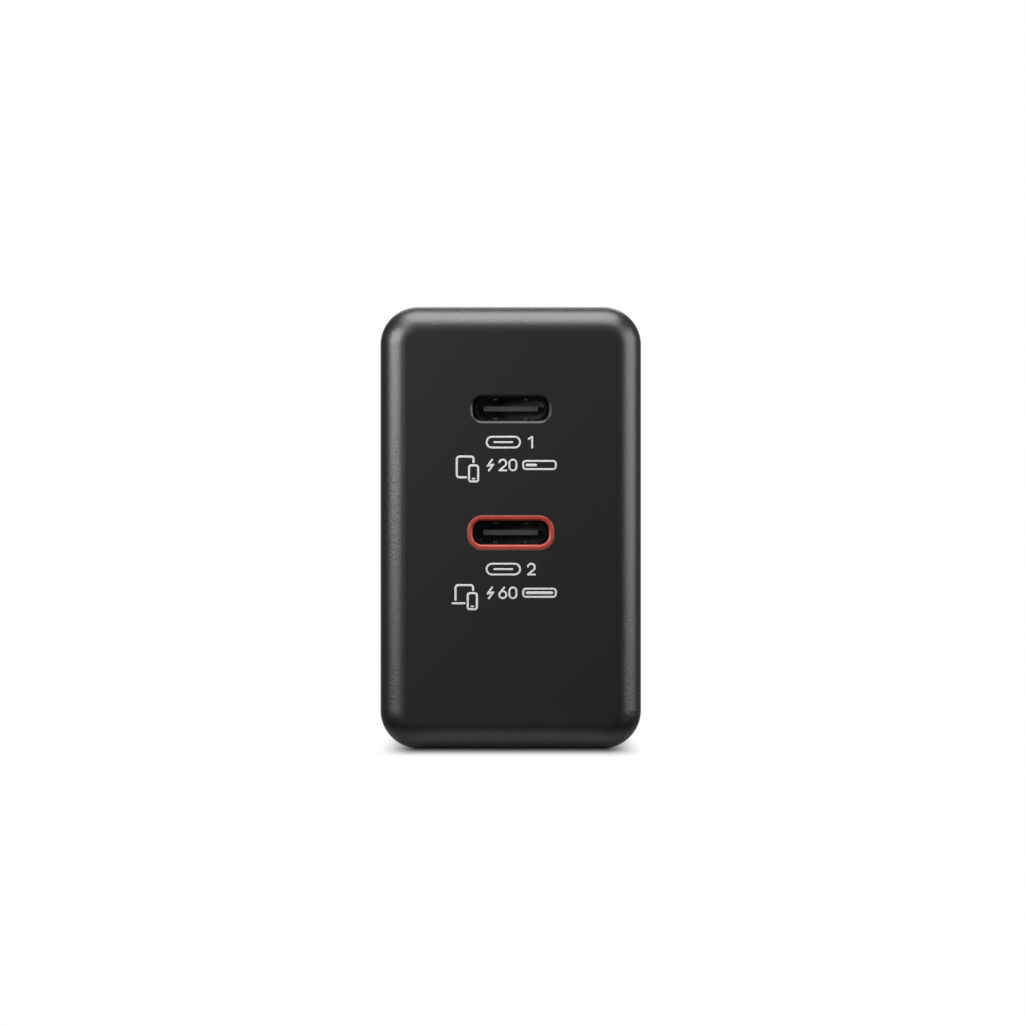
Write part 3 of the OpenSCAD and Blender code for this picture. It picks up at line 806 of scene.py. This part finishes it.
@dataclass(frozen=True)
class PortMarks:
    """The grey marks under one port: a socket sign with its number, a pictogram and a level bar.

    Places are from the port's centre, in millimetres: x to the right and z up.
    """

    name: str
    number: int
    level: tuple[int, int]
    filled: float
    device: Device
    sign_at: tuple[float, float]
    level_at: tuple[float, float]
    device_at: tuple[float, float]
    pen: float = 0.24
    socket_width: float = 4.1
    socket_height: float = 1.32
    socket_gap: float = 0.95
    bolt: tuple[tuple[float, float], ...] = (
        (0.62, 1.32),
        (0.08, 0.56),
        (0.78, 0.74),
        (0.22, -0.02),
    )
    bolt_pitch: float = 1.5
    numeral_pitch: float = 1.24
    bar_gap: float = 0.45
    bar_width: float = 4.0
    bar_foot: float = 0.16
    bar_top: float = 1.16
    bar_corner: float = 0.34
    fill_inset: float = 0.5
    fill_pen: float = 0.36

    def socket_sign(self, port_z: float) -> list[Stroke]:
        """A socket's outline with its tongue, then the port's number.

        Args:
            port_z: the height of the port's centre.

        Returns:
            The sign's strokes.
        """
        x, z = self.sign_at[0], self.sign_at[1] + port_z
        right, top = x + self.socket_width, z + self.socket_height
        outline = round_box(x, z, right, top, self.socket_height / 2)
        middle = z + self.socket_height / 2
        tongue = line((x + self.socket_gap, middle), (right - self.socket_gap, middle))
        marks = [Stroke(outline, self.pen, closed=True), Stroke(tongue, self.pen)]
        return marks + Numeral(self.number).strokes(right + self.socket_gap, z)

    def level_sign(self, port_z: float) -> list[Stroke]:
        """A bolt, a plain number, and a bar filled to the port's share.

        Args:
            port_z: the height of the port's centre.

        Returns:
            The sign's strokes.
        """
        x, z = self.level_at[0], self.level_at[1] + port_z
        bolt = shift(line(*self.bolt), x, z)
        marks = [Stroke(bolt[k : k + 2], self.pen) for k in range(len(bolt) - 1)]
        x += self.bolt_pitch
        for digit in self.level:
            marks += Numeral(digit).strokes(x, z)
            x += self.numeral_pitch
        x += self.bar_gap
        foot, top = z + self.bar_foot, z + self.bar_top
        bar = round_box(x, foot, x + self.bar_width, top, self.bar_corner)
        inner, middle = x + self.fill_inset, (foot + top) / 2
        full = self.bar_width - 2 * self.fill_inset
        fill = line((inner, middle), (inner + full * self.filled, middle))
        return marks + [Stroke(bar, self.pen, closed=True), Stroke(fill, self.fill_pen)]

    def device_sign(self, port_z: float) -> list[Stroke]:
        """The pictogram of the devices that the port is for."""
        return Pictogram(self.device).strokes(self.device_at[0], self.device_at[1] + port_z)

    def build(self, port_z: float, face_y: float) -> None:
        """Makes the three marks.

        Args:
            port_z: the height of the port's centre, in millimetres.
            face_y: where the face's plane is, in millimetres.
        """
        print_mark(f"socket_sign_{self.name}", self.socket_sign(port_z), face_y)
        print_mark(f"level_sign_{self.name}", self.level_sign(port_z), face_y)
        print_mark(f"device_sign_{self.name}", self.device_sign(port_z), face_y)


# ---------------------------------------------------------------- sub-assemblies


@dataclass
class Assembly:
    """A group of CAD nodes with their finishes, and the new pieces that go with them."""

    nodes: dict[str, bpy.types.Object]

    FINISHES: ClassVar[dict[Finish, tuple[str, ...]]] = {}

    def build(self) -> None:
        """Makes the new pieces, of which most groups have none."""

    def dress(self) -> None:
        """Gives every node of the group its finish."""
        for finish, names in self.FINISHES.items():
            for name in names:
                slots = self.nodes[name].data.materials
                slots.clear()
                slots.append(finish.material())
                log.info("dressed %s with %s", name, finish.value.name)


@dataclass
class Housing(Assembly):
    """The moulded case, its rear cover and the marks printed on its face."""

    marks: tuple[PortMarks, ...] = (
        PortMarks(
            "upper",
            number=1,
            level=(2, 0),
            filled=0.34,
            device=Device.TABLET,
            sign_at=(-2.95, -4.75),
            level_at=(-2.9, -7.55),
            device_at=(-6.6, -8.9),
        ),
        PortMarks(
            "lower",
            number=2,
            level=(6, 0),
            filled=1.0,
            device=Device.LAPTOP,
            sign_at=(-2.95, -5.15),
            level_at=(-2.9, -8.05),
            device_at=(-7.1, -9.4),
        ),
    )

    FINISHES = {Finish.CASE: ("front_case", "rear_cover")}

    def build(self) -> None:
        """Prints the marks under each port."""
        face_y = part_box("front_case")[0].y / MM
        for mark in self.marks:
            low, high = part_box(f"usb_tongue_{mark.name}")
            mark.build((low.z + high.z) / 2 / MM, face_y)


@dataclass
class Ports(Assembly):
    """The red ring and the two receptacles."""

    FINISHES = {
        Finish.RING: ("port_ring",),
        Finish.SHELL: ("usb_shell_upper", "usb_shell_lower"),
        Finish.TONGUE: ("usb_tongue_upper", "usb_tongue_lower"),
        Finish.CONTACT: ("usb_contacts_upper", "usb_contacts_lower"),
    }


@dataclass
class Prongs(Assembly):
    """The folding blades, their rotor, and what holds and feeds them."""

    FINISHES = {
        Finish.BLADE: ("prong_left", "prong_right"),
        Finish.NYLON: ("prong_rotor", "prong_retainer"),
        Finish.ZINC: ("retainer_screws",),
        Finish.BRONZE: ("contact_spring_left", "contact_spring_right"),
        Finish.LEAD_BLUE: ("mains_lead_left",),
        Finish.LEAD_BROWN: ("mains_lead_right",),
    }


@dataclass
class Electronics(Assembly):
    """The boards and everything on them, sealed inside the case."""

    FINISHES = {
        Finish.BOARD: ("port_board", "main_board"),
        Finish.NYLON: ("board_header",),
        Finish.CONTACT: ("header_pins",),
        Finish.FERRITE: ("transformer_core", "choke_core", "buck_inductors"),
        Finish.BOBBIN: ("transformer_bobbin",),
        Finish.TAPE: ("transformer_winding",),
        Finish.SLEEVE: ("bulk_capacitors",),
        Finish.CAN: ("output_capacitors",),
        Finish.WIRE: ("choke_winding",),
        Finish.FILM_BOX: ("x_capacitor",),
        Finish.BLUE_EPOXY: ("y_capacitor",),
        Finish.GREEN_EPOXY: ("thermistor",),
        Finish.FUSE: ("fuse",),
        Finish.WHITE_CHIP: ("optocoupler",),
        Finish.CHIP: (
            "bridge_rectifier",
            "power_switch",
            "rectifier_switch",
            "controller_chip",
            "port_controller",
        ),
        Finish.PAD: ("thermal_pad",),
        Finish.COPPER: ("heat_spreader",),
        Finish.FILM: ("insulation_sheet",),
    }


# ---------------------------------------------------------------- studio


@dataclass(frozen=True)
class Softbox:
    """A rectangular soft light, placed by its bearing from the object.

    The bearing is in degrees: azimuth 0 is towards the camera and 90 to the right, and elevation
    is up from level.
    """

    name: str
    azimuth: float
    elevation: float
    distance: float
    width: float
    height: float
    radiance: float
    aim: tuple[float, float, float] = (0.0, -18.0, 27.0)

    def build(self) -> None:
        """Makes the light. Its power is its radiance times pi times its area."""
        turn, rise = math.radians(self.azimuth), math.radians(self.elevation)
        bearing = Vector(
            (math.sin(turn) * math.cos(rise), -math.cos(turn) * math.cos(rise), math.sin(rise))
        )
        lamp = bpy.data.lights.new(self.name, "AREA")
        lamp.shape = "RECTANGLE"
        lamp.size, lamp.size_y = self.width * MM, self.height * MM
        lamp.energy = self.radiance * math.pi * lamp.size * lamp.size_y
        box = bpy.data.objects.new(self.name, lamp)
        box.visible_camera = False
        box.location = (Vector(self.aim) + bearing * self.distance) * MM
        box.rotation_euler = (-bearing).to_track_quat("-Z", "Y").to_euler()
        bpy.context.scene.collection.objects.link(box)


@dataclass
class Studio:
    """A white table in a dark room: soft lights above and beside, a white backdrop behind.

    The table lights the object as a pale mat with round corners, which reaches a little way
    beyond its footprint, and a darker top beyond that. Each step of the backdrop is the cosine
    where it starts, the cosine where it is full, and the level that it adds.
    """

    frame_width: float = 125.65
    aim_x: float = 0.28
    aim_z: float = 28.9
    distance: float = 1000.0
    sensor: float = 36.0
    clip: tuple[float, float] = (50.0, 50000.0)
    ambient: float = 0.2
    room: float = 0.01
    backdrop: tuple[tuple[float, float, float], ...] = ((0.0, 0.4, 0.1), (0.8, 1.0, 0.9))
    table_size: float = 30000.0
    mat_reach: tuple[float, float] = (1.0, 5.0)
    mat_corner: float = 9.0
    mat_albedo: float = 0.33
    table_albedo: float = 0.01
    # The table's shadow is painted: its depth, and its fades ahead, behind and beside the case.
    shadow_depth: float = 0.975
    shadow_ahead: tuple[float, float] = (-2.0, 34.0)
    shadow_behind: tuple[float, float] = (-2.0, 16.0)
    shadow_beside: tuple[float, float] = (-4.6, 0.4)
    lights: tuple[Softbox, ...] = (
        Softbox(
            "overhead",
            azimuth=0,
            elevation=75.5,
            distance=220,
            width=236,
            height=215,
            radiance=5.2,
        ),
        Softbox(
            "left_strip",
            azimuth=-52.5,
            elevation=18.7,
            distance=220,
            width=186,
            height=118,
            radiance=7.1,
        ),
        Softbox(
            "right_strip",
            azimuth=71,
            elevation=14.8,
            distance=220,
            width=205,
            height=149,
            radiance=3.45,
        ),
        Softbox(
            "back",
            azimuth=180,
            elevation=40,
            distance=260,
            width=200,
            height=120,
            radiance=1.6,
            aim=(0, 18, 27),
        ),
    )

    def build_camera(self) -> None:
        """Makes a level camera at its given height, its lens set by the frame's width."""
        face_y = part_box("front_case")[0].y
        lens = bpy.data.cameras.new("camera")
        lens.sensor_width = self.sensor
        lens.lens = self.sensor * self.distance / self.frame_width
        lens.clip_start, lens.clip_end = (far * MM for far in self.clip)
        camera = bpy.data.objects.new("camera", lens)
        camera.location = (self.aim_x * MM, face_y - self.distance * MM, self.aim_z * MM)
        camera.rotation_euler = (math.radians(90), 0, 0)
        bpy.context.scene.collection.objects.link(camera)
        bpy.context.scene.camera = camera

    @staticmethod
    def combined(
        tree: bpy.types.NodeTree, operation: str, numbers: Sequence[bpy.types.NodeSocket]
    ) -> bpy.types.NodeSocket:
        """Works one operation through several numbers, each with the result so far.

        Args:
            tree: the node tree.
            operation: what is done with two numbers.
            numbers: the numbers, in order.

        Returns:
            The result.
        """
        result = numbers[0]
        for number in numbers[1:]:
            both = add_node(tree, "Math", {"operation": operation}, i0=result, i1=number)
            result = both.outputs[0]
        return result

    def any_of(self, tree: bpy.types.NodeTree, *rays: str) -> bpy.types.NodeSocket:
        """One for a ray of any of the named kinds, and nought for the rest."""
        path = add_node(tree, "LightPath")
        return self.combined(tree, "MAXIMUM", [path.outputs[ray] for ray in rays])

    def behind(self, tree: bpy.types.NodeTree) -> bpy.types.NodeSocket:
        """How white a ray finds the room: pale walls behind the object, and a white backdrop.

        The cosine is of the angle between the ray and straight back.

        Args:
            tree: the node tree of the room or of what mirrors it.

        Returns:
            The room's level, up to one.
        """
        back = add_node(tree, "NewGeometry").outputs["Incoming"]
        cosine = add_node(tree, "SeparateXYZ", Vector=back).outputs["Y"]
        steps = [
            add_node(
                tree,
                "MapRange",
                {
                    "interpolation_type": "SMOOTHSTEP",
                    "From Min": -start,
                    "From Max": -full,
                    "To Max": level,
                },
                Value=cosine,
            ).outputs["Result"]
            for start, full, level in self.backdrop
        ]
        return self.combined(tree, "ADD", steps)

    def painted_shadow(self, tree: bpy.types.NodeTree, place: bpy.types.NodeSocket) -> bpy.types.NodeSocket:
        """How bright the table is under the object's painted soft shadow, from near nought to one.

        The painted shadow is what is left by three fades, worked out from where the spot is and
        cast by
        no lamp: ahead of the front face, where it reaches furthest, behind the rear face and beside
        the case. Each fade is between two distances from that side of the case.

        Args:
            tree: the table's node tree.
            place: where on the table the spot is.

        Returns:
            The table's brightness there.
        """
        low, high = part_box("front_case")
        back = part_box("rear_cover")[1].y
        spot = add_node(tree, "SeparateXYZ", Vector=place)
        across = add_node(tree, "Math", {"operation": "ABSOLUTE"}, i0=spot.outputs["X"]).outputs[0]
        ahead = add_node(tree, "Math", {"operation": "MULTIPLY", 1: -1.0}, i0=spot.outputs["Y"])
        sides = (
            (ahead.outputs[0], -low.y, self.shadow_ahead),
            (spot.outputs["Y"], back, self.shadow_behind),
            (across, high.x, self.shadow_beside),
        )
        fades = [
            add_node(
                tree,
                "MapRange",
                {
                    "interpolation_type": "SMOOTHSTEP",
                    "From Min": edge + start * MM,
                    "From Max": edge + stop * MM,
                    "To Min": 1.0,
                    "To Max": 0.0,
                },
                Value=value,
            ).outputs["Result"]
            for value, edge, (start, stop) in sides
        ]
        lit = add_node(
            tree,
            "Math",
            {"operation": "MULTIPLY_ADD", 1: -self.shadow_depth, 2: 1.0},
            i0=self.combined(tree, "MULTIPLY", fades),
        )
        return lit.outputs[0]

    def mat(self, tree: bpy.types.NodeTree, place: bpy.types.NodeSocket) -> bpy.types.NodeSocket:
        """How pale the table is as a surface: a mat under and round the case, darker beyond.

        The distance is from a rectangle inside the case's footprint, so the mat's corners are
        round. It is the length of what is left of the place, taken positive, past that rectangle.

        Args:
            tree: the table's node tree.
            place: where on the table the spot is.

        Returns:
            The albedo there.
        """
        low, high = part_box("front_case")
        round_by = self.mat_corner * MM
        inner = (high.x - round_by, -low.y - round_by, 0.0)
        apart = add_node(tree, "VectorMath", {"operation": "ABSOLUTE"}, i0=place)
        for operation, other in (("SUBTRACT", inner), ("MAXIMUM", (0.0, 0.0, 0.0))):
            apart = add_node(
                tree, "VectorMath", {"operation": operation, 1: other}, i0=apart.outputs[0]
            )
        away = add_node(tree, "VectorMath", {"operation": "LENGTH"}, i0=apart.outputs[0])
        near, far = (self.mat_corner + reach for reach in self.mat_reach)
        albedo = add_node(
            tree,
            "MapRange",
            {
                "From Min": near * MM,
                "From Max": far * MM,
                "To Min": self.mat_albedo,
                "To Max": self.table_albedo,
            },
            Value=away.outputs["Value"],
        )
        return albedo.outputs["Result"]

    def build_table(self) -> None:
        """A table top, plain white where it is seen, but for the object's painted soft shadow."""
        half = self.table_size / 2 * MM
        mesh = bpy.data.meshes.new("table_top")
        mesh.from_pydata(
            [(-half, -half, 0), (half, -half, 0), (half, half, 0), (-half, half, 0)],
            [],
            [(0, 1, 2, 3)],
        )
        table = bpy.data.objects.new("table_top", mesh)
        bpy.context.scene.collection.objects.link(table)
        material, tree = new_material("white_table_top")
        place = add_node(tree, "NewGeometry").outputs["Position"]
        # Seen, the table is white with a painted shadow on it, not one cast by a lamp.
        white = add_node(tree, "Emission", Strength=self.painted_shadow(tree, place))
        plain = add_node(tree, "BsdfDiffuse", Color=self.mat(tree, place))
        reflected = add_node(
            tree,
            "Math",
            {"operation": "MULTIPLY"},
            i0=self.any_of(tree, "Is Glossy Ray"),
            i1=self.behind(tree),
        )
        seen = add_node(
            tree,
            "Math",
            {"operation": "MAXIMUM"},
            i0=self.any_of(tree, "Is Camera Ray", "Is Transmission Ray"),
            i1=reflected.outputs[0],
        )
        shader = add_node(
            tree, "MixShader", i0=seen.outputs[0], i1=plain.outputs[0], i2=white.outputs[0]
        )
        end_with(tree, shader)
        mesh.materials.append(material)

    def build_room(self) -> None:
        """Soft light from all round a dark room, with a white backdrop behind the object."""
        world = bpy.data.worlds.new("studio")
        world.use_nodes = True
        tree = world.node_tree
        tree.nodes.clear()
        walls = add_node(
            tree, "Math", {"operation": "MAXIMUM", 1: self.room}, i0=self.behind(tree)
        )
        shiny = add_node(
            tree,
            "Mix",
            {2: self.ambient},
            i0=self.any_of(tree, "Is Glossy Ray"),
            i3=walls.outputs[0],
        )
        strength = add_node(
            tree,
            "Mix",
            {3: 1.0},
            i0=self.any_of(tree, "Is Camera Ray", "Is Transmission Ray"),
            i2=shiny.outputs[0],
        )
        light = add_node(tree, "Background", {"Color": (1, 1, 1, 1)}, Strength=strength.outputs[0])
        out = add_node(tree, "OutputWorld")
        tree.links.new(light.outputs[0], out.inputs["Surface"])
        bpy.context.scene.world = world

    def build(self) -> None:
        """Builds the table, the room and the lights."""
        self.build_table()
        self.build_room()
        for light in self.lights:
            light.build()
        bpy.context.scene.view_settings.view_transform = "Standard"


def main() -> None:
    """Builds the charger's looks and the studio round it."""
    logging.basicConfig(level=logging.INFO, format="%(name)s: %(message)s")
    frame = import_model()
    studio = Studio()
    studio.build_camera()
    nodes = frame["nodes"]
    for assembly in (Housing(nodes), Ports(nodes), Prongs(nodes), Electronics(nodes)):
        assembly.build()
        assembly.dress()
    studio.build()


if __name__ == "__main__":
    main()
